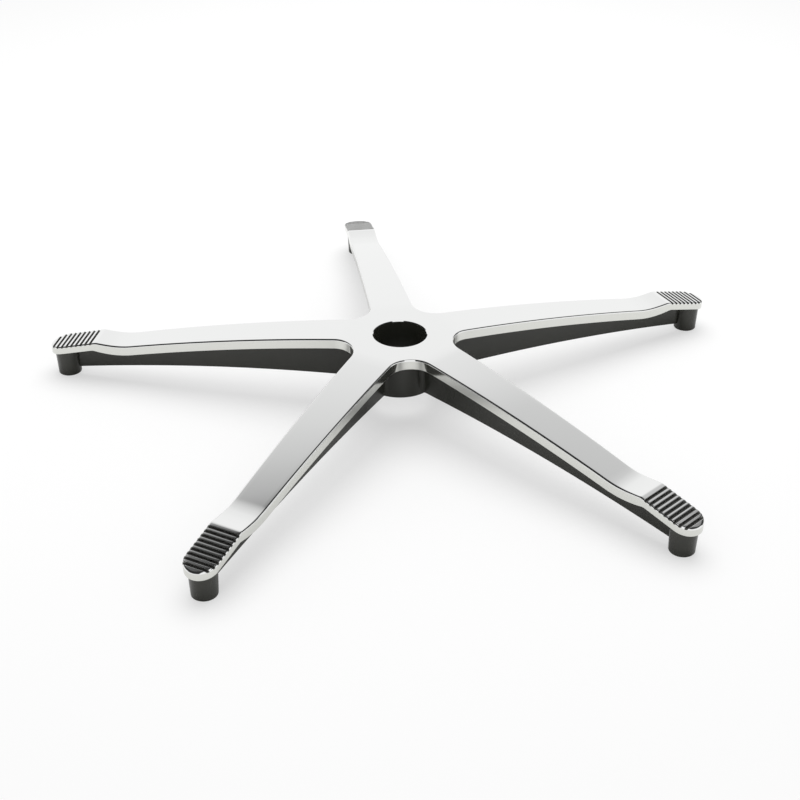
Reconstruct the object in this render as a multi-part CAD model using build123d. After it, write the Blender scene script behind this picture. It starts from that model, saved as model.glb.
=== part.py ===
from build123d import *
import os
from math import radians, tan

# Five-arm star base of an office chair: a single aluminium casting with no joints.
# A flat-topped star shell is stiffened from below by a hub that takes the gas column
# and by one deep rib per arm, which ends in a boss with a socket for a caster stem.
# Millimetres. Every height below is measured from the floor; the finished casting is
# then set down so that the origin is the centre of the column taper at the hub's top.

# Star, seen from above
ARM_COUNT = 5
FIRST_ARM_ANGLE = 18.0  # degrees from +X, so that one arm points along +Y
CASTER_CIRCLE_R = 330.0  # radius of the circle through the caster sockets
ARM_ROOT_WIDTH = 43.4  # width of an arm's straight sides, run back to the column axis
TREAD_WIDTH = 30.0  # width of the foot tread, which ends in a half circle
TREAD_BLEND_S = 271.0  # distance from the axis at which the taper becomes the tread
TREAD_BLEND_R = 1150.0  # radius that eases the taper into the tread's parallel sides
CROTCH_R = 22.5  # radius between two neighbouring arms

# Side view of an arm, from the hub's flat top down to the tip
HUB_TOP = 71.5
FLAT_TOP_S = 47.0  # distance from the axis at which the flat top ends
BROW_R = 150.0  # radius that turns the flat top downwards
BROW_FALL = 5.6  # degrees of slope at the end of that turn
ARCH_END_S, ARCH_END_Z = 258.5, 42.0  # far end of the long, slightly arched top
DIP_END_S, DIP_END_Z = 281.0, 40.6  # end of the hollow in front of the tread
RIDGE_S, RIDGE_Z = 295.0, 42.0  # inner edge of the tread
RIDGE_R = 9.0
TREAD_FALL = 12.4  # degrees by which the tread slopes down to its tip

# Shell: the edge band, the top wall and the skirt round the hollow underside
BAND_HEIGHT = 9.8
TREAD_BAND_HEIGHT = 7.85
BAND_STEP_S = 298.0  # distance from the axis at which the band takes its lower height
RIM_CHAMFER = 1.0  # eased edge between the top and the band
TOP_WALL = 4.6
SKIRT_WALL = 3.8
POCKET_CORNER_R = 3.0
POCKET_END_GAP = 4.0  # solid metal between the hollow and the caster boss

# Tread grooves, measured along the slope
GROOVE_COUNT = 9
GROOVE_PITCH = 5.0
GROOVE_START = 5.3  # from the ridge to the middle of the first groove
GROOVE_WIDTH = 2.6
GROOVE_FLOOR = 1.7
GROOVE_DEPTH = 1.5

# Hub
HUB_R = 33.0
HUB_BOTTOM = 21.8
COLUMN_R = 25.0  # radius of the column taper at the hub's top
COLUMN_TAPER = 1.438  # degrees of each side of the taper, wider at the top
MOUTH_CHAMFER = 0.6

# Ribs
RIB_HUB_Z = 23.2  # lower edge at the hub
RIB_BOSS_Z = 4.6  # lower edge at the caster boss
RIB_ARCH_S = 58.0  # where the level lower edge starts its arch down to the boss
RIB_FOOT_HALF = 0.7  # half thickness that the sides would reach at floor level
RIB_DRAFT = 2.8  # degrees by which each side opens upwards
RIB_CORNER_R = 4.0  # inside corners where a rib meets the hub

# Caster bosses and their sockets
BOSS_R = 11.0  # radius at the floor
BOSS_DRAFT = 2.5  # degrees by which a boss widens upwards on every side
BOSS_CHAMFER = 0.8
SOCKET_R = 5.6
SOCKET_DEPTH = 25.0
SOCKET_CHAMFER = 0.8

# Worked out from the sizes above
ARM_STEP = 360.0 / ARM_COUNT
ARM_ANGLES = [FIRST_ARM_ANGLE + ARM_STEP * k for k in range(ARM_COUNT)]
TIP_R = TREAD_WIDTH / 2
REACH = CASTER_CIRCLE_R + TIP_R
SECTOR_HALF = REACH * tan(radians(ARM_STEP / 2))
EMBED = TOP_WALL / 2  # how far ribs, hub and bosses run up into the top wall


def around(shape):
    """One copy of a shape for every arm."""
    return [Rot(0, 0, angle) * shape for angle in ARM_ANGLES]


def tread_z(s):
    """Height of the tread's sloping plane at distance s from the axis."""
    return RIDGE_Z - (s - RIDGE_S) * tan(radians(TREAD_FALL))


def arm_line(drop, ridge, tip_z):
    """Side view of an arm's top, lowered by drop, with the ridge and tip given."""
    start = JernArc((FLAT_TOP_S, HUB_TOP - drop), (1, 0), BROW_R, -BROW_FALL)
    arch = TangentArc(start @ 1, (ARCH_END_S, ARCH_END_Z - drop), tangent=start % 1)
    dip = TangentArc(arch @ 1, (DIP_END_S, DIP_END_Z - drop), tangent=arch % 1)
    rise = TangentArc(dip @ 1, ridge, tangent=dip % 1)
    flat = Line((0, HUB_TOP - drop), start @ 0)
    return [flat, start, arch, dip, rise, Line(ridge, (REACH, tip_z))]


def top_line(drop=0.0):
    """The arm's top in side view, or the same line this far below it."""
    return arm_line(drop, (RIDGE_S, RIDGE_Z - drop), tread_z(REACH) - drop)


def band_line():
    """The lower edge of the band in side view."""
    ridge = (BAND_STEP_S, tread_z(BAND_STEP_S) - TREAD_BAND_HEIGHT)
    return arm_line(BAND_HEIGHT, ridge, tread_z(REACH) - TREAD_BAND_HEIGHT)


def between(upper, lower):
    """The side-view face between two lines that start at the axis."""
    ends = [Line(upper[0] @ 0, lower[0] @ 0), Line(upper[-1] @ 1, lower[-1] @ 1)]
    return make_face(Curve() + upper + lower + ends)


def below(upper):
    """The side-view face from a line down to the floor."""
    start, end = upper[0] @ 0, upper[-1] @ 1
    return between(upper, [Line((start.X, 0), (end.X, 0))])


def side_prism(face, half_width):
    """A side-view face swept across the arm to both sides."""
    return extrude(Plane.XZ * face, half_width, both=True)


def arm_plan():
    """Outline of one arm from above, along +X."""
    root, tread = ARM_ROOT_WIDTH / 2, TREAD_WIDTH / 2
    left = FilletPolyline(
        (0, root), (TREAD_BLEND_S, tread), (CASTER_CIRCLE_R, tread), radius=TREAD_BLEND_R
    )
    right = mirror(left, about=Plane.XZ)
    tip = ThreePointArc(left @ 1, (REACH, 0), right @ 1)
    return make_face(Curve() + [left, tip, right, Line(left @ 0, right @ 0)])


def star_plan():
    """Outline of the star from above, with a round crotch between two arms."""
    star = Sketch() + around(arm_plan())
    crotches = star.vertices().sort_by(lambda v: Vector(v.X, v.Y).length)[:ARM_COUNT]
    return fillet(crotches, CROTCH_R)


def star_layer(plan, face):
    """Every arm of a plan, cut to the side-view face of one arm."""
    sector = make_face(Polyline((0, 0), (REACH, -SECTOR_HALF), (REACH, SECTOR_HALF), close=True))
    arm = extrude((Rot(0, 0, -FIRST_ARM_ANGLE) * plan) & sector, HUB_TOP)
    return Part() + around(arm & side_prism(face, SECTOR_HALF))


def make_slab(plan):
    """The star's top layer, from its top line down to the band's lower edge."""
    side = between(top_line(), band_line())
    ridge = side.vertices().sort_by_distance((RIDGE_S, RIDGE_Z))[0]
    slab = star_layer(plan, fillet(ridge, RIDGE_R))
    top_edges = ShapeList(e for f in slab.faces() if f.normal_at().Z > 0.5 for e in f.edges())
    band_edges = ShapeList(e for f in slab.faces() if abs(f.normal_at().Z) < 0.1 for e in f.edges())
    rim = ShapeList(edge for edge in top_edges if edge in band_edges)
    return chamfer(rim, RIM_CHAMFER)


def make_hollow(plan):
    """The space under the top wall, inside the skirt and clear of the bosses."""
    end = CASTER_CIRCLE_R - BOSS_R - POCKET_END_GAP
    beyond = Pos(end, 0) * Rectangle(REACH, TREAD_WIDTH, align=(Align.MIN, Align.CENTER))
    inside = offset(plan, -SKIRT_WALL) - around(beyond)
    ends = inside.vertices().group_by(lambda v: round(Vector(v.X, v.Y).length))[-1]
    inside = fillet(ends, POCKET_CORNER_R)
    return star_layer(inside, below(top_line(TOP_WALL)))


def make_spider():
    """Hub and ribs as one piece, with round inside corners between them."""
    hub = Pos(0, 0, HUB_BOTTOM) * Cylinder(
        HUB_R, HUB_TOP - EMBED - HUB_BOTTOM, align=(Align.CENTER, Align.CENTER, Align.MIN)
    )
    head_half = RIB_FOOT_HALF + HUB_TOP * tan(radians(RIB_DRAFT))
    section = make_face(
        Polyline(
            (-RIB_FOOT_HALF, 0), (RIB_FOOT_HALF, 0), (head_half, HUB_TOP), (-head_half, HUB_TOP),
            close=True,
        )
    )
    level = Line((0, RIB_HUB_Z), (RIB_ARCH_S, RIB_HUB_Z))
    arch = TangentArc(level @ 1, (CASTER_CIRCLE_R, RIB_BOSS_Z), tangent=level % 1)
    side = between(top_line(EMBED), [level, arch])
    rib = extrude(Plane.YZ * section, CASTER_CIRCLE_R) & side_prism(side, head_half)
    spider = hub + around(rib)
    rib_sides = ShapeList(e for f in spider.faces().filter_by(GeomType.PLANE) for e in f.edges())
    hub_sides = ShapeList(e for f in spider.faces().filter_by(GeomType.CYLINDER) for e in f.edges())
    corners = ShapeList(e for e in rib_sides if e in hub_sides and e.bounding_box().size.Z > HUB_TOP / 2)
    return fillet(corners, RIB_CORNER_R)


def make_boss():
    """One caster boss along +X: a drafted cone on a flat, chamfered foot."""
    head_r = BOSS_R + HUB_TOP * tan(radians(BOSS_DRAFT))
    tall = Cone(BOSS_R, head_r, HUB_TOP, align=(Align.CENTER, Align.CENTER, Align.MIN))
    boss = Pos(CASTER_CIRCLE_R, 0, 0) * tall & side_prism(below(top_line(EMBED)), TREAD_WIDTH)
    return chamfer(boss.edges().group_by(Axis.Z)[0], BOSS_CHAMFER)


def column_bore():
    """The tapered hole for the gas column, chamfered at its mouth."""
    slope = tan(radians(COLUMN_TAPER))
    chamfer_z = HUB_TOP - MOUTH_CHAMFER
    mouth_r = COLUMN_R + MOUTH_CHAMFER
    profile = make_face(
        Polyline(
            (0, 0), (COLUMN_R - HUB_TOP * slope, 0), (COLUMN_R - MOUTH_CHAMFER * slope, chamfer_z),
            (mouth_r, HUB_TOP), (mouth_r, HUB_TOP + MOUTH_CHAMFER), (0, HUB_TOP + MOUTH_CHAMFER),
            close=True,
        )
    )
    return revolve(Plane.XZ * profile, Axis.Z)


def caster_socket():
    """The blind hole for a caster stem in one boss along +X."""
    mouth_r = SOCKET_R + SOCKET_CHAMFER
    profile = make_face(
        Polyline(
            (0, 0), (mouth_r, 0), (SOCKET_R, SOCKET_CHAMFER), (SOCKET_R, SOCKET_DEPTH),
            (0, SOCKET_DEPTH), close=True,
        )
    )
    return Pos(CASTER_CIRCLE_R, 0, 0) * revolve(Plane.XZ * profile, Axis.Z)


def tread_grooves():
    """The grooves across one arm's tread, square to its sloping plane."""
    flare = (GROOVE_WIDTH - GROOVE_FLOOR) / 2
    section = make_face(
        Polyline(
            (-GROOVE_FLOOR / 2, -GROOVE_DEPTH), (GROOVE_FLOOR / 2, -GROOVE_DEPTH),
            (GROOVE_WIDTH / 2 + flare, GROOVE_DEPTH), (-GROOVE_WIDTH / 2 - flare, GROOVE_DEPTH),
            close=True,
        )
    )
    groove = side_prism(section, TREAD_WIDTH)
    tread = Pos(RIDGE_S, 0, RIDGE_Z) * Rot(0, TREAD_FALL, 0)
    return [tread * Pos(GROOVE_START + GROOVE_PITCH * k, 0, 0) * groove for k in range(GROOVE_COUNT)]


def make_star_base():
    """The whole casting, set down with its origin at the hub's top."""
    plan = star_plan()
    casting = make_slab(plan) - make_hollow(plan)
    casting += [make_spider()] + around(make_boss())
    cuts = [column_bore()] + around(Part() + [caster_socket()] + tread_grooves())
    casting -= cuts
    return Pos(0, 0, -HUB_TOP) * casting


star_base = make_star_base()
os.makedirs("parts", exist_ok=True)
export_step(star_base, "parts/star_base.step")
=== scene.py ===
import math

import bmesh
import bpy
import numpy as np
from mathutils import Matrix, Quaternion, Vector


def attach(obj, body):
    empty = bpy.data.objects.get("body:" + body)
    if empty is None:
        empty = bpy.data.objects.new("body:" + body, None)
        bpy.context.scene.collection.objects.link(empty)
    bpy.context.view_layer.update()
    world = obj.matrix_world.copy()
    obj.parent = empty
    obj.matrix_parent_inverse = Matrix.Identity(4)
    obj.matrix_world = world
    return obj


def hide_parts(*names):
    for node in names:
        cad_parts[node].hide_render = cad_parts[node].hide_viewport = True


# Five-arm star base of an office chair: a polished aluminium star on a dark coated
# underside. Sizes are in millimetres, heights are measured from the hub's flat top,
# s runs along an arm from the column axis and t across it.

MM = 0.001
ARMS = 5
FIRST_ARM = math.radians(18.0)
HALF_STEP = math.pi / ARMS
FLOOR = -71.5

# plan of an arm
CASTER_S = 330.0
ROOT_HALF, TREAD_HALF = 21.7, 15.0
BLEND_S, BLEND_R = 271.0, 1150.0
CROTCH_R = 22.5
TAPER = math.atan((ROOT_HALF - TREAD_HALF) / BLEND_S)

# side view of an arm
FLAT_S = 47.0
BROW_R, BROW_FALL = 150.0, math.radians(5.6)
ARCH_END = (258.5, 42.0 + FLOOR)
DIP_END = (281.0, 40.6 + FLOOR)
RIDGE = (295.0, 42.0 + FLOOR)
RIDGE_R = 9.0
FALL = math.radians(12.4)
BAND, TREAD_BAND, BAND_RIDGE_S = 9.8, 7.85, 298.0
RIM_R, LIP_R = 1.5, 0.5
TOP_WALL, SKIRT = 4.6, 3.8
POCKET_R, POCKET_GAP = 3.0, 4.0

# tread grooves
GROOVES, GROOVE_PITCH, GROOVE_START = 9, 5.0, 5.3
GROOVE_WIDTH, GROOVE_FLOOR, GROOVE_DEPTH = 2.6, 1.7, 1.5
GROOVE_EDGE_R = 0.22
GROOVE_LAND = 0.98  # share of the flat between two grooves that the section covers
GROOVE_SEEN = 0.03  # depth from which a corner of a face counts as inside a groove

# hub, ribs and bosses
HUB_R, HUB_BOTTOM = 33.0, 21.8 + FLOOR
COLUMN_R, COLUMN_SLOPE = 25.0, math.tan(math.radians(1.438))
MOUTH = 0.6
RIB_HUB_Z, RIB_BOSS_Z, RIB_ARCH_S = 23.2 + FLOOR, 4.6 + FLOOR, 58.0
RIB_FOOT, RIB_DRAFT = 0.7, math.tan(math.radians(2.8))
RIB_CORNER_R, RIB_EDGE_R, HUB_EDGE_R = 4.0, 0.6, 0.4
RIB_START, RIB_CORNER_HALF = 28.0, 3.5  # inner end, and half width where the corner ends
BOSS_R, BOSS_DRAFT, BOSS_EDGE_R = 11.0, math.tan(math.radians(2.5)), 0.8
SOCKET_R, SOCKET_DEPTH, SOCKET_CHAMFER = 5.6, 25.0, 0.8
BOSS_TOP = 30.0  # hidden top of a boss, inside the tread
HIDDEN = 2.3  # how far the ribs and the hub run up inside the top wall
POCKET_END = CASTER_S - BOSS_R - POCKET_GAP  # outer end of the hollow

# fineness of the meshes: points on a curve, faces across, and gaps between rows
CROTCH_POINTS, RIDGE_POINTS, RIM_POINTS, LIP_POINTS, BAND_POINTS = 23, 7, 8, 4, 3
ACROSS = 4  # faces from an arm's rim to its centre line
HUB_TOP_FACES, HUB_CEILING_FACES, FOOT_FACES = 14, 8, 2  # faces from the inside outwards
ROW_GAP, FINE_ROW_GAP, FINE_FROM, FINE_TO = 3.0, 1.5, 250.0, 292.0
TIP_TURN = 2.0  # degrees between rows round the tip
SAME_S, SAME_TURN, NEAR_TIP = 0.02, 0.0015, 0.05  # rows closer than this count as one
RIB_GAP, RIB_ROWS, RIB_EDGE_POINTS, RIB_CORNER_POINTS = 4.0, 9, 5, 12
MERGE, EMPTY, SHARP = 2e-6, 1e-6, math.radians(30)  # metres, metres and an angle

# studio and camera, in metres
CAMERA_AZ, CAMERA_EL, CAMERA_ROLL = -8.284, 31.398, 0.034
CAMERA_AWAY, CAMERA_LOWER, CAMERA_LENS, SENSOR = 1.40195, 0.0006, 66.016, 36.0
CLIP = (0.05, 50.0)
AMBIENT = 0.62  # strength of the white surround as a light
FLOOR_HALF, FLOOR_WHITE = 6.0, 0.9
FLOOR_GLOW, GLOW = 0.5, 1.03  # share of plain glow the camera sees on the floor, its strength
FADE_START, FADE_END = 1.6, 4.0  # from the axis, over which the floor turns plain white
CARDS_AWAY = 5.0
LAMPS = [("overhead", (0.1, 0.6, 1.7), 2.0, 24.0)]


class SideLine:
    """Height along an arm: a flat, then arcs that each start along the last one's end.

    Every arc is a circle through its two end points and tangent to the one before it;
    the ridge corner is a circle of RIDGE_R between the rise and the sloping tread."""

    def __init__(self, drop, ridge):
        self.drop = drop
        angle = -BROW_FALL
        start = (FLAT_S + BROW_R * math.sin(BROW_FALL),
                 -drop - BROW_R * (1 - math.cos(BROW_FALL)))
        self.arcs = [(FLAT_S, start[0], FLAT_S, -drop - BROW_R, -BROW_R)]
        ends = ((ARCH_END[0], ARCH_END[1] - drop), (DIP_END[0], DIP_END[1] - drop), ridge)
        for end_s, end_z in ends:
            ds, dz = end_s - start[0], end_z - start[1]
            turn = math.atan2(dz, ds) - angle
            radius = math.hypot(ds, dz) / (2 * math.sin(turn))
            self.arcs.append((start[0], end_s, start[0] - radius * math.sin(angle),
                              start[1] + radius * math.cos(angle), radius))
            angle += 2 * turn
            start = (end_s, end_z)
        self.ridge, half = ridge, (angle + FALL) / 2
        reach = RIDGE_R * math.tan(half)
        s0, s1 = ridge[0] - reach * math.cos(angle), ridge[0] + reach * math.cos(FALL)
        z0 = ridge[1] - reach * math.sin(angle)
        self.round = (s0, s1, s0 + RIDGE_R * math.sin(angle), z0 - RIDGE_R * math.cos(angle))

    def __call__(self, s):
        s = np.asarray(s, float)
        z = np.full(s.shape, -self.drop)
        for s0, s1, cs, cz, radius in self.arcs:
            bow = np.sqrt(np.maximum(radius * radius - (s - cs) ** 2, 0))
            z = np.where((s > s0) & (s <= s1), cz - math.copysign(1, radius) * bow, z)
        z = np.where(s > self.ridge[0], self.ridge[1] - (s - self.ridge[0]) * math.tan(FALL), z)
        s0, s1, cs, cz = self.round
        bow = np.sqrt(np.maximum(RIDGE_R * RIDGE_R - (s - cs) ** 2, 0))
        return np.where((s > s0) & (s < s1), cz + bow, z)


def tread_z(s):
    """Height of the tread's straight slope, RIDGE less the fall per length."""
    return RIDGE[1] - (s - RIDGE[0]) * math.tan(FALL)


top_z = SideLine(0.0, RIDGE)
band_z = SideLine(BAND, (BAND_RIDGE_S, tread_z(BAND_RIDGE_S) - TREAD_BAND))
ceiling_z = SideLine(TOP_WALL, (RIDGE[0], RIDGE[1] - TOP_WALL))


def rounded(corners, radius, steps):
    """A polyline with its inner corners replaced by arcs of the radius."""
    corners = np.asarray(corners, float)
    out = [corners[:1]]
    for before, at, after in zip(corners, corners[1:], corners[2:]):
        u, v = before - at, after - at
        u, v = u / np.linalg.norm(u), v / np.linalg.norm(v)
        half = math.acos(np.clip(u @ v, -1, 1)) / 2
        middle = (u + v) / np.linalg.norm(u + v)
        centre = at + middle * radius / math.sin(half)
        a = at + u * radius / math.tan(half) - centre
        b = at + v * radius / math.tan(half) - centre
        k = np.linspace(0, 1, steps + 1)[:, None]
        between = a * (1 - k) + b * k
        out.append(centre + radius * between / np.linalg.norm(between, axis=1, keepdims=True))
    out.append(corners[-1:])
    return np.vstack(out)


def groove_line():
    """Side view of the grooved tread: one trapezoid notch with eased corners, repeated at
    the pitch down the slope. Returns its distances from the axis and its heights."""
    w, f, d = GROOVE_WIDTH / 2, GROOVE_FLOOR / 2, GROOVE_DEPTH
    margin = (GROOVE_PITCH - GROOVE_WIDTH) / 2 * GROOVE_LAND
    corners = [(-w - margin, 0), (-w, 0), (-f, -d), (f, -d), (w, 0), (w + margin, 0)]
    notch = rounded(corners, GROOVE_EDGE_R, 2)
    along = (notch[:, 0] + GROOVE_START + GROOVE_PITCH * np.arange(GROOVES)[:, None]).ravel()
    height = np.tile(notch[:, 1], GROOVES)
    s = RIDGE[0] + along * math.cos(FALL) + height * math.sin(FALL)
    z = RIDGE[1] - along * math.sin(FALL) + height * math.cos(FALL)
    return s, z


GROOVE_S, GROOVE_Z = groove_line()


def grooved(s, z):
    """The height z, or the grooves' height where that is lower."""
    cut = np.interp(s, GROOVE_S, GROOVE_Z)
    inside = (s > GROOVE_S[0]) & (s < GROOVE_S[-1])
    return np.where(inside, np.minimum(z, cut), z)


def half_outline():
    """Half an arm's outline from the crotch to the tip, as points and inward normals.

    Crotch arc, straight taper, the wide arc that ends the taper, the tread's parallel
    side, and a quarter circle round the caster axis. Rows stand at every corner of the
    grooves, so that their edges run straight across the arm."""
    reach = (ROOT_HALF + CROTCH_R / math.cos(TAPER)) / (
        math.sin(HALF_STEP) + math.cos(HALF_STEP) * math.tan(TAPER))
    centre = reach * np.array([math.cos(HALF_STEP), math.sin(HALF_STEP)])
    turn = np.linspace(math.pi + HALF_STEP, 1.5 * math.pi - TAPER, CROTCH_POINTS)
    inward = np.stack([np.cos(turn), np.sin(turn)], -1)
    crotch = centre + CROTCH_R * inward

    blend_end = BLEND_S + BLEND_R * math.tan(TAPER / 2)
    blend_start = BLEND_S - BLEND_R * math.tan(TAPER / 2) * math.cos(TAPER)
    s = np.concatenate([np.arange(crotch[-1, 0] + 2.5, FINE_FROM, ROW_GAP),
                        np.arange(FINE_FROM + 0.5, FINE_TO, FINE_ROW_GAP),
                        np.linspace(top_z.round[0], top_z.round[1], RIDGE_POINTS),
                        GROOVE_S[GROOVE_S < CASTER_S - NEAR_TIP]])
    s = np.unique(np.round(s, 4))
    s = s[np.r_[True, np.diff(s) > SAME_S]]
    bow = np.clip(blend_end - s, 0, blend_end - blend_start)
    t = np.where(s < blend_start, ROOT_HALF - s * math.tan(TAPER),
                 TREAD_HALF + BLEND_R - np.sqrt(BLEND_R**2 - bow**2))
    lean = np.where(s < blend_start, math.sin(TAPER), bow / BLEND_R)
    side = np.stack([s, t], -1)
    side_in = -np.stack([lean, np.sqrt(1 - lean**2)], -1)

    turns = [np.radians(np.arange(0, 91, TIP_TURN))]
    for radius in (TREAD_HALF, TREAD_HALF - RIM_R):
        past = GROOVE_S[(GROOVE_S >= CASTER_S) & (GROOVE_S < CASTER_S + radius)] - CASTER_S
        turns.append(np.arcsin(past / radius))
    turn = np.unique(np.round(np.concatenate(turns), 5))
    turn = turn[np.r_[True, np.diff(turn) > SAME_TURN]]
    turn[-1] = math.pi / 2
    tip_in = -np.stack([np.sin(turn), np.cos(turn)], -1)
    tip = np.array([CASTER_S, 0.0]) - TREAD_HALF * tip_in
    return np.vstack([crotch, side, tip]), np.vstack([inward, side_in, tip_in]), len(crotch)


def groove_finish(height, plain):
    """Finish of each face of a grid: the groove material, rough metal darkened with painted shade,
    where a groove lies below the plain height.
    """
    deep = (plain - height) > GROOVE_SEEN
    corners = deep[:-1, :-1].astype(int) + deep[1:, :-1] + deep[1:, 1:] + deep[:-1, 1:]
    return np.where(corners >= 2, GROOVE_SHADE, POLISHED).ravel()


def quads(rows, columns, offset=0):
    """Faces of a grid of rows by columns of vertices, numbered row by row."""
    at = np.arange(rows * columns).reshape(rows, columns) + offset
    return np.stack([at[:-1, :-1], at[1:, :-1], at[1:, 1:], at[:-1, 1:]], -1).reshape(-1, 4)


class Surface:
    """Grids of points gathered into one mesh, each with the number of its finish.

    way is a point's place along, across and above an arm, before the arm is turned."""

    def __init__(self):
        self.points, self.faces, self.finish, self.way = [], [], [], None

    def grid(self, points, finish=0):
        """A grid of points; finish is one number, or one for each face."""
        points = np.asarray(points, float)
        rows, columns = points.shape[:2]
        offset = sum(len(p) for p in self.points)
        self.points.append(points.reshape(-1, 3))
        faces = quads(rows, columns, offset)
        self.faces.append(faces)
        self.finish.append(np.full(len(faces), finish))

    def around(self, turns, mirrored):
        """Copies turned about the column axis, each with its mirror image if asked."""
        points, faces = np.vstack(self.points), np.vstack(self.faces)
        finish = np.concatenate(self.finish)
        sides = [(1, faces)] + ([(-1, faces[:, ::-1])] if mirrored else [])
        out_points, out_faces, out_finish = [], [], []
        self.way = np.tile(points, (turns * len(sides), 1))
        for k in range(turns):
            angle = FIRST_ARM + 2 * HALF_STEP * k
            c, s = math.cos(angle), math.sin(angle)
            for side, each in sides:
                x, y = points[:, 0], points[:, 1] * side
                out_faces.append(each + len(points) * len(out_points))
                out_points.append(np.stack([x * c - y * s, x * s + y * c, points[:, 2]], -1))
                out_finish.append(finish)
        self.points, self.faces, self.finish = out_points, out_faces, out_finish

    def piece(self, name, finishes):
        """The object: doubled points merged, empty faces dropped, faces turned outwards."""
        points, faces = np.vstack(self.points) * MM, np.vstack(self.faces)
        mesh = bpy.data.meshes.new(name)
        mesh.vertices.add(len(points))
        mesh.vertices.foreach_set("co", points.astype(np.float32).ravel())
        mesh.loops.add(faces.size)
        mesh.loops.foreach_set("vertex_index", faces.astype(np.int32).ravel())
        mesh.polygons.add(len(faces))
        mesh.polygons.foreach_set("loop_start", np.arange(0, faces.size, 4, dtype=np.int32))
        mesh.polygons.foreach_set("material_index", np.concatenate(self.finish).astype(np.int32))
        mesh.update(calc_edges=True)
        for finish in finishes:
            mesh.materials.append(finish)
        along = points / MM if self.way is None else self.way
        way = mesh.attributes.new("arm_way", "FLOAT_VECTOR", "POINT")
        way.data.foreach_set("vector", along.astype(np.float32).ravel())
        work = bmesh.new()
        work.from_mesh(mesh)
        bmesh.ops.remove_doubles(work, verts=work.verts, dist=MERGE)
        bmesh.ops.dissolve_degenerate(work, edges=work.edges, dist=EMPTY)
        bmesh.ops.recalc_face_normals(work, faces=work.faces)
        work.to_mesh(mesh)
        work.free()
        mesh.polygons.foreach_set("use_smooth", np.ones(len(mesh.polygons), bool))
        mesh.set_sharp_from_angle(angle=SHARP)
        thing = bpy.data.objects.new(name, mesh)
        bpy.context.scene.collection.objects.link(thing)
        even = thing.modifiers.new("even_shading", "WEIGHTED_NORMAL")
        even.keep_sharp = True
        return thing


def lay(plan, height):
    """Plan points with heights: height is a function of s or an array."""
    z = height(plan[..., 0]) if callable(height) else np.broadcast_to(height, plan.shape[:-1])
    return np.concatenate([plan, np.asarray(z)[..., None]], -1)


def blend(a, b, steps):
    """Points from each a to each b, one column per step."""
    k = np.linspace(0, 1, steps + 1)[None, :, None]
    return a[:, None] * (1 - k) + b[:, None] * k


def fan(edge, root, inner_r, deep):
    """Plan grids over an arm half: rows straight across to its centre line, and a fan from
    the circle of inner_r to the crotch and to the first of those rows."""
    rows = blend(edge[root:], np.stack([edge[root:, 0], 0 * edge[root:, 0]], -1), ACROSS)
    outer = np.vstack([edge[:root], rows[0]])
    turn = np.linspace(HALF_STEP, 0, len(outer))
    inner = inner_r * np.stack([np.cos(turn), np.sin(turn)], -1)
    return blend(inner, outer, deep), rows, inner


# the groove faces get rough metal whose dark colour is painted shade in the grooves
POLISHED, BRUSHED_AND_SHADED, COATED, GROOVE_SHADE = 0, 1, 2, 3


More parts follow.
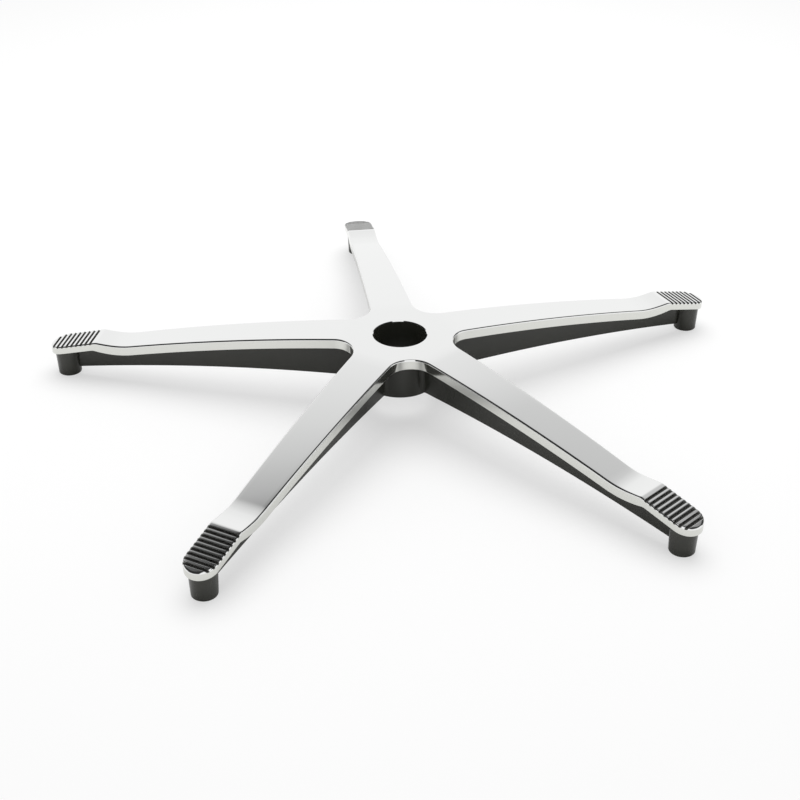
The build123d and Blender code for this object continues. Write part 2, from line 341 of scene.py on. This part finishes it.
def star_shell(finishes):
    """The star's shell as height over plan: side line along the arm, a quarter round of
    RIM_R at the rim, grooves cut where lower, an upright band down to its own side line,
    a skirt, and the hollow under the top wall."""
    outline, inward, crotch = half_outline()
    shell = Surface()

    # rim: e inwards from the outline and down from the top follow a quarter circle
    turn = np.radians(np.linspace(0, 90, RIM_POINTS))
    off, drop = RIM_R * (1 - np.cos(turn)), RIM_R * (1 - np.sin(turn))
    ring = outline[:, None] + inward[:, None] * off[None, :, None]
    plain_z = top_z(ring[..., 0]) - drop
    rim_z = grooved(ring[..., 0], plain_z)
    shell.grid(lay(ring, rim_z), groove_finish(rim_z, plain_z))

    # top
    hub_top, arm_top, mouth = fan(ring[:, -1], crotch - 1, COLUMN_R + MOUTH, HUB_TOP_FACES)
    shell.grid(lay(hub_top, top_z), POLISHED)
    plain_z = top_z(arm_top[..., 0])
    arm_z = grooved(arm_top[..., 0], plain_z)
    shell.grid(lay(arm_top, arm_z), groove_finish(arm_z, plain_z))

    # mouth of the column taper, and the hidden wall that closes the shell inside the hub
    turn = np.linspace(HALF_STEP, 0, len(mouth))
    way = np.stack([np.cos(turn), np.sin(turn)], -1)
    inner_r = COLUMN_R + HIDDEN
    lip_low = lay(way * COLUMN_R, -MOUTH)
    shell.grid(np.stack([lay(way * (COLUMN_R + MOUTH), 0.0), lip_low], 1), POLISHED)
    hidden = [lip_low, lay(way * inner_r, -MOUTH), lay(way * inner_r, -TOP_WALL)]
    shell.grid(np.stack(hidden, 1), COATED)

    # band and its lower lip
    foot = band_z(outline[:, 0])
    k = np.linspace(0, 1, BAND_POINTS)
    wall_z = rim_z[:, :1] * (1 - k) + (foot[:, None] + LIP_R) * k
    wall = np.repeat(outline[:, None], BAND_POINTS, 1)
    # the band and its lip carry the brushed finish, its colour darkened by painted shade
    shell.grid(lay(wall, wall_z), BRUSHED_AND_SHADED)
    turn = np.radians(np.linspace(0, 90, LIP_POINTS))
    lip = outline[:, None] + inward[:, None] * (LIP_R * (1 - np.cos(turn)))[None, :, None]
    lip_z = foot[:, None] + LIP_R * (1 - np.sin(turn))
    shell.grid(lay(lip, lip_z), BRUSHED_AND_SHADED)

    # underside: the skirt's foot, the hollow's wall, and the ceiling of the hollow
    ahead = outline[:, 0] > POCKET_END - POCKET_R
    first = int(np.argmax(ahead)) - 1
    pocket = outline + inward * SKIRT
    corner = np.array([POCKET_END - POCKET_R, pocket[first, 1] - POCKET_R])
    count = len(outline) - first - ACROSS - 1
    turn = np.linspace(math.pi / 2, 0, count + 1)
    bend = corner + POCKET_R * np.stack([np.cos(turn), np.sin(turn)], -1)
    end = blend(bend[-1:], np.array([[POCKET_END, 0.0]]), ACROSS)[0]
    pocket = np.vstack([pocket[:first], bend, end[1:]])
    under = blend(lip[:, -1], pocket, FOOT_FACES)
    under_z = band_z(under[..., 0])
    under_z[:, 0] = lip_z[:, -1]
    shell.grid(lay(under, under_z), COATED)
    hollow_z = np.stack([under_z[:, -1], ceiling_z(pocket[:, 0])], -1)
    shell.grid(lay(np.repeat(pocket[:, None], 2, 1), hollow_z), COATED)
    open_rows = len(pocket) - ACROSS
    hub_ceiling, arm_ceiling, _ = fan(pocket[:open_rows], crotch - 1, inner_r, HUB_CEILING_FACES)
    shell.grid(lay(hub_ceiling, ceiling_z), COATED)
    shell.grid(lay(arm_ceiling, ceiling_z), COATED)

    shell.around(ARMS, mirrored=True)
    return shell.piece("star_shell", finishes)


def turned(profile, steps=180):
    """A profile of radii and heights carried round the column axis."""
    turn = np.linspace(0, 2 * math.pi, steps + 1)
    profile = np.asarray(profile, float)
    x = profile[:, 0] * np.cos(turn)[:, None]
    y = profile[:, 0] * np.sin(turn)[:, None]
    return np.stack([x, y, np.broadcast_to(profile[:, 1], x.shape)], -1)


def hub(finish):
    """Hub: a ring whose inside is the column taper, its lower edges rounded."""
    bore = [(COLUMN_R + z * COLUMN_SLOPE, z) for z in (-MOUTH, HUB_BOTTOM)]
    profile = rounded(bore + [(HUB_R, HUB_BOTTOM), (HUB_R, -HIDDEN)], HUB_EDGE_R, 5)
    profile = np.vstack([profile, profile[:1]])
    ring = Surface()
    ring.grid(turned(profile))
    return ring.piece("hub", [finish])


def ribs(finish):
    """Ribs: drafted sides t = foot half width + draft * height, a level lower edge that
    goes over into an arch, and a quarter round of RIB_CORNER_R where they meet the hub."""
    chord_s, chord_z = CASTER_S - RIB_ARCH_S, RIB_BOSS_Z - RIB_HUB_Z
    arch_r = (chord_s**2 + chord_z**2) / (-2 * chord_z)
    corner_s = math.sqrt((HUB_R + RIB_CORNER_R) ** 2 - (RIB_CORNER_HALF + RIB_CORNER_R) ** 2)
    s = np.unique(np.concatenate([[RIB_START],
                                  np.linspace(HUB_R * 0.955, corner_s, RIB_CORNER_POINTS),
                                  np.arange(40, CASTER_S - 8, RIB_GAP)]))
    run = np.maximum(s - RIB_ARCH_S, 0)
    low = RIB_HUB_Z - arch_r + np.sqrt(arch_r**2 - run**2)
    high = ceiling_z(s) + HIDDEN
    edge = np.radians(np.linspace(0, 90, RIB_EDGE_POINTS))
    rise = RIB_EDGE_R * (1 - np.cos(edge))
    k = np.linspace(0, 1, RIB_ROWS)[1:]
    upper = (low + RIB_EDGE_R)[:, None] * (1 - k) + high[:, None] * k
    z = np.concatenate([low[:, None] + rise, upper], 1)
    half = RIB_FOOT + (z - FLOOR) * RIB_DRAFT
    reach = np.sqrt(np.maximum((HUB_R + RIB_CORNER_R) ** 2 - (half + RIB_CORNER_R) ** 2, 0))
    gap = np.clip(reach - s[:, None], 0, RIB_CORNER_R)
    half = half + RIB_CORNER_R - np.sqrt(RIB_CORNER_R**2 - gap**2)
    half[:, :RIB_EDGE_POINTS] -= RIB_EDGE_R * (1 - np.sin(edge))
    side = np.stack([np.broadcast_to(s[:, None], z.shape), half, z], -1)
    foot, head = side[:, :1] * [1, 0, 1], side[:, -1:] * [1, 0, 1]
    half_ring = np.concatenate([foot, side, head], 1)
    other = half_ring[:, ::-1] * [1, -1, 1]
    ring = np.concatenate([half_ring, other], 1)
    rib = Surface()
    rib.grid(ring)
    n = half_ring.shape[1]
    for row in (ring[0], ring[-1]):
        rib.grid(np.stack([row[:n], row[::-1][:n]], 0))
    rib.around(ARMS, mirrored=False)
    return rib.piece("ribs", [finish])


def caster_bosses(finish):
    """Bosses: a drafted round profile with a rounded foot and a blind socket, turned about
    the caster axis, its top hidden in the tread."""
    head = (BOSS_R + BOSS_TOP * BOSS_DRAFT, BOSS_TOP)
    outside = rounded([(SOCKET_R + SOCKET_CHAMFER, 0), (BOSS_R, 0), head], BOSS_EDGE_R, 5)
    inside = [(0, SOCKET_DEPTH), (SOCKET_R, SOCKET_DEPTH), (SOCKET_R, SOCKET_CHAMFER)]
    points = turned(np.vstack([inside, outside, [(0, BOSS_TOP)]]), 96)
    points += (CASTER_S, 0, FLOOR)
    boss = Surface()
    boss.grid(points)
    boss.around(ARMS, mirrored=False)
    return boss.piece("caster_bosses", [finish])


class Nodes:
    """A material's or world's node tree, with short ways to add and join nodes."""

    def __init__(self, owner):
        owner.use_nodes = True
        self.tree = owner.node_tree
        self.tree.nodes.clear()

    def add(self, kind, inputs=None, **settings):
        node = self.tree.nodes.new(kind)
        for key, value in settings.items():
            setattr(node, key, value)
        for key, value in (inputs or {}).items():
            if isinstance(value, bpy.types.NodeSocket):
                self.tree.links.new(value, node.inputs[key])
            else:
                node.inputs[key].default_value = value
        return node

    def spread(self, value, low, high):
        """value from 0 to 1 spread over low to high."""
        made = self.add("ShaderNodeMapRange", {"Value": value, "To Min": low, "To Max": high})
        return made.outputs["Result"]

    def noise(self, place, stretch, scale, detail):
        """Noise on a place, which is first multiplied by stretch and then by scale."""
        moved = self.add("ShaderNodeMapping", {"Vector": place, "Scale": stretch}).outputs["Vector"]
        made = self.add("ShaderNodeTexNoise", {"Vector": moved, "Scale": scale, "Detail": detail})
        return made.outputs["Fac"]

    def bump(self, height, depth):
        """Normals of a surface that rises by depth, in metres, where height goes from 0 to 1."""
        made = self.add("ShaderNodeBump", {"Height": height, "Distance": depth, "Strength": 1.0})
        return made.outputs["Normal"]


def metal(name, colour, streaks, roughness, depth):
    """Bare aluminium: fine polishing streaks and cloudy patches of duller metal. streaks is
    how fast the noise changes (along, across, up) an arm; roughness is its (least, most)."""
    finish = bpy.data.materials.new(name)
    nodes = Nodes(finish)
    way = nodes.add("ShaderNodeAttribute", attribute_name="arm_way").outputs["Vector"]
    place = nodes.add("ShaderNodeTexCoord").outputs["Object"]
    lines = nodes.noise(way, streaks, 1.0, 3.0)
    clouds = nodes.noise(place, (1, 1, 1), 28.0, 3.0)
    dull = nodes.add("ShaderNodeMath", {0: lines, 1: clouds}, operation="MULTIPLY").outputs[0]
    skin = nodes.add("ShaderNodeBsdfPrincipled", {
        "Base Color": (*colour, 1), "Metallic": 1.0, "Roughness": nodes.spread(dull, *roughness),
        "Normal": nodes.bump(lines, depth)})
    nodes.add("ShaderNodeOutputMaterial", {"Surface": skin.outputs[0]})
    return finish


def dark_coating(name):
    """Glossy olive-black paint: a faint orange-peel surface and slightly uneven gloss."""
    finish = bpy.data.materials.new(name)
    nodes = Nodes(finish)
    place = nodes.add("ShaderNodeTexCoord").outputs["Object"]
    peel = nodes.noise(place, (1, 1, 1), 700.0, 2.0)
    clouds = nodes.noise(place, (1, 1, 1), 45.0, 3.0)
    colours = {6: (0.020, 0.021, 0.016, 1), 7: (0.030, 0.030, 0.023, 1)}
    tint = nodes.add("ShaderNodeMix", {"Factor": clouds, **colours}, data_type="RGBA")
    skin = nodes.add("ShaderNodeBsdfPrincipled", {
        "Base Color": tint.outputs[2], "Roughness": nodes.spread(clouds, 0.2, 0.3),
        "Normal": nodes.bump(peel, 0.00004)})
    nodes.add("ShaderNodeOutputMaterial", {"Surface": skin.outputs[0]})
    return finish


def shade(az, el):
    """How much a dark card hides of the white surround, by direction in degrees: az is
    0 behind the object and grows to its right. Behind, the white fades out upwards, and
    sooner to the right. On the other sides it turns dark above a height of its own: low on
    the right and at the front left, higher on the left, highest at the front right. A white
    strip runs from overhead down to the front."""
    white = np.interp(el, [0, 3, 28, 40, 47, 50, 53, 57],
                      [0.6, 1, 0.98, 0.91, 0.76, 0.66, 0.5, 0.05])
    dimmed = np.interp(az, [10, 26], [0, 0.22]) * np.interp(el, [34, 42], [0, 1])
    behind = 1 - white * (1 - dimmed)
    left = np.interp(el, [0, 3, 14, 20], [0.4, 0, 0, 0.97])
    front_left = np.interp(el, [0, 3, 7], [0.4, 0.1, 0.97])
    right = np.interp(el, [1, 4], [0, 0.95])
    front_right = np.interp(el, [0, 3, 26, 34], [0.4, 0, 0, 0.97])
    dark = behind + (left - behind) * np.interp(az, [-42, -34], [1, 0])
    dark = dark + (front_left - dark) * np.interp(az, [-104, -94], [1, 0])
    dark = dark + (right - dark) * np.interp(az, [46, 49], [0, 1])
    dark = dark + (front_right - dark) * np.interp(az, [86, 92], [0, 1])
    x = np.sin(np.radians(az)) * np.cos(np.radians(el))
    y = np.cos(np.radians(az)) * np.cos(np.radians(el))
    ahead, edge = np.maximum(-y, 0), 0.04
    strip = (np.clip((x + 0.12 + 0.33 * ahead) / edge, 0, 1)
             * np.clip((0.26 + 0.15 * ahead - x) / edge, 0, 1))
    return dark * (1 - strip * np.interp(y, [0.04, 0.10], [1, 0]))


def dark_cards():
    """A half sphere round the studio that only reflections see, clear where shade() is 0
    and black where it is 1."""
    el = np.radians(np.arange(0, 90.1, 1.0))
    az = np.radians(np.arange(-180, 180.1, 2.0))
    e, a = np.meshgrid(el, az, indexing="ij")
    way = np.stack([np.sin(a) * np.cos(e), np.cos(a) * np.cos(e), np.sin(e)], -1)
    points = CARDS_AWAY * way
    points[..., 2] += FLOOR * MM
    mesh = bpy.data.meshes.new("dark_cards")
    mesh.from_pydata(points.reshape(-1, 3), [], quads(*e.shape).tolist())
    tone = mesh.attributes.new("shade", "FLOAT", "POINT")
    tone.data.foreach_set("value", shade(np.degrees(a), np.degrees(e)).astype(np.float32).ravel())
    finish = bpy.data.materials.new("graded_dark_card")
    nodes = Nodes(finish)
    amount = nodes.add("ShaderNodeAttribute", attribute_name="shade").outputs["Fac"]
    clear = nodes.add("ShaderNodeBsdfTransparent").outputs[0]
    black = nodes.add("ShaderNodeEmission", {"Strength": 0.0}).outputs[0]
    mixed = nodes.add("ShaderNodeMixShader", {0: amount, 1: clear, 2: black})
    nodes.add("ShaderNodeOutputMaterial", {"Surface": mixed.outputs[0]})
    mesh.materials.append(finish)
    cards = bpy.data.objects.new("dark_cards", mesh)
    for sort in ("camera", "diffuse", "transmission", "volume_scatter", "shadow"):
        setattr(cards, "visible_" + sort, False)
    bpy.context.scene.collection.objects.link(cards)


def studio():
    """White floor with soft shadows that turns plain white far out, a white surround, and
    soft light from above."""
    scene = bpy.context.scene
    scene.view_settings.view_transform = "Standard"

    world = scene.world or bpy.data.worlds.new("studio")
    scene.world = world
    nodes = Nodes(world)
    path = nodes.add("ShaderNodeLightPath").outputs
    seen = path["Is Camera Ray"]
    for kind in ("Is Glossy Ray", "Is Transmission Ray"):
        more = {0: seen, 1: path[kind]}
        seen = nodes.add("ShaderNodeMath", more, operation="MAXIMUM").outputs[0]
    power = nodes.spread(seen, AMBIENT, 1.0)
    light = nodes.add("ShaderNodeBackground", {"Color": (1, 1, 1, 1), "Strength": power})
    nodes.add("ShaderNodeOutputWorld", {"Surface": light.outputs[0]})

    floor_z = FLOOR * MM
    mesh = bpy.data.meshes.new("floor")
    corners = [(x * FLOOR_HALF, y * FLOOR_HALF, floor_z)
               for x, y in ((-1, -1), (1, -1), (1, 1), (-1, 1))]
    mesh.from_pydata(corners, [], [(0, 1, 2, 3)])
    floor = bpy.data.objects.new("floor", mesh)
    scene.collection.objects.link(floor)
    finish = bpy.data.materials.new("white_floor")
    nodes = Nodes(finish)
    path = nodes.add("ShaderNodeLightPath").outputs
    matt = nodes.add("ShaderNodeBsdfDiffuse", {"Color": (*[FLOOR_WHITE] * 3, 1)}).outputs[0]
    glow = nodes.add("ShaderNodeEmission", {"Strength": GLOW}).outputs[0]
    place = nodes.add("ShaderNodeTexCoord").outputs["Object"]
    away = nodes.add("ShaderNodeVectorMath", {0: place}, operation="LENGTH").outputs["Value"]
    fade = nodes.add("ShaderNodeMapRange", {
        "Value": away, "From Min": FADE_START, "From Max": FADE_END,
        "To Min": FLOOR_GLOW, "To Max": 1.0}).outputs["Result"]
    part = nodes.add("ShaderNodeMath", {0: path["Is Camera Ray"], 1: fade}, operation="MULTIPLY")
    skin = nodes.add("ShaderNodeMixShader", {0: part.outputs[0], 1: matt, 2: glow})
    nodes.add("ShaderNodeOutputMaterial", {"Surface": skin.outputs[0]})
    mesh.materials.append(finish)

    for name, place, size, watts in LAMPS:
        lamp = bpy.data.lights.new(name, "AREA")
        lamp.shape, lamp.size, lamp.energy = "DISK", size, watts
        thing = bpy.data.objects.new(name, lamp)
        thing.location = place
        thing.rotation_euler = (-Vector(place)).to_track_quat("-Z", "Y").to_euler()
        thing.visible_glossy = False
        scene.collection.objects.link(thing)


def camera():
    """The photograph's camera, aimed at the foot of the column axis."""
    az, el = math.radians(CAMERA_AZ), math.radians(CAMERA_EL)
    back = Vector((math.sin(az) * math.cos(el), -math.cos(az) * math.cos(el), math.sin(el)))
    lens = bpy.data.cameras.new("camera")
    lens.lens, lens.sensor_width = CAMERA_LENS, SENSOR
    lens.clip_start, lens.clip_end = CLIP
    thing = bpy.data.objects.new("camera", lens)
    turn = back.to_track_quat("Z", "Y") @ Quaternion((0, 0, 1), math.radians(-CAMERA_ROLL))
    lower = turn @ Vector((0, -CAMERA_LOWER, 0))
    thing.location = Vector((0, 0, FLOOR * MM)) + back * CAMERA_AWAY + lower
    thing.rotation_euler = turn.to_euler()
    bpy.context.scene.collection.objects.link(thing)
    bpy.context.scene.camera = thing


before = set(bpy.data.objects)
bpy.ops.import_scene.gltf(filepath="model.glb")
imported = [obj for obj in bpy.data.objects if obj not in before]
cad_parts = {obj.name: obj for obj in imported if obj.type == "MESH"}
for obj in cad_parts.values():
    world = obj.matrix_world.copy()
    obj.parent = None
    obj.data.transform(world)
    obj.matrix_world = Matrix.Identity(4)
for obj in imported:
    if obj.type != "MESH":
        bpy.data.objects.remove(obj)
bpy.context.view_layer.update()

polished = metal("polished_aluminium", colour=(0.87, 0.875, 0.87), streaks=(0.05, 2.2, 0.5),
                 roughness=(0.03, 0.10), depth=0.0000015)
# band and lip: brushed streaks and roughness, and a darker olive-grey colour than the top that is
# painted shade
brushed_shaded_band = metal("brushed_band_painted_shade", colour=(0.70, 0.705, 0.67), streaks=(2.4, 2.4, 0.12),
                roughness=(0.08, 0.2), depth=0.000004)
# groove faces: rough metal whose dark colour is painted shade in the grooves
dull = metal("groove_painted_shade", colour=(0.20, 0.20, 0.19), streaks=(0.05, 2.2, 0.5),
             roughness=(0.38, 0.5), depth=0.000004)
coated = dark_coating("dark_coating")

finishes = [polished, brushed_shaded_band, coated, dull]
for piece in (star_shell(finishes), hub(coated), ribs(coated), caster_bosses(coated)):
    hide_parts("star_base")
    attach(piece, "root")

studio()
dark_cards()
camera()
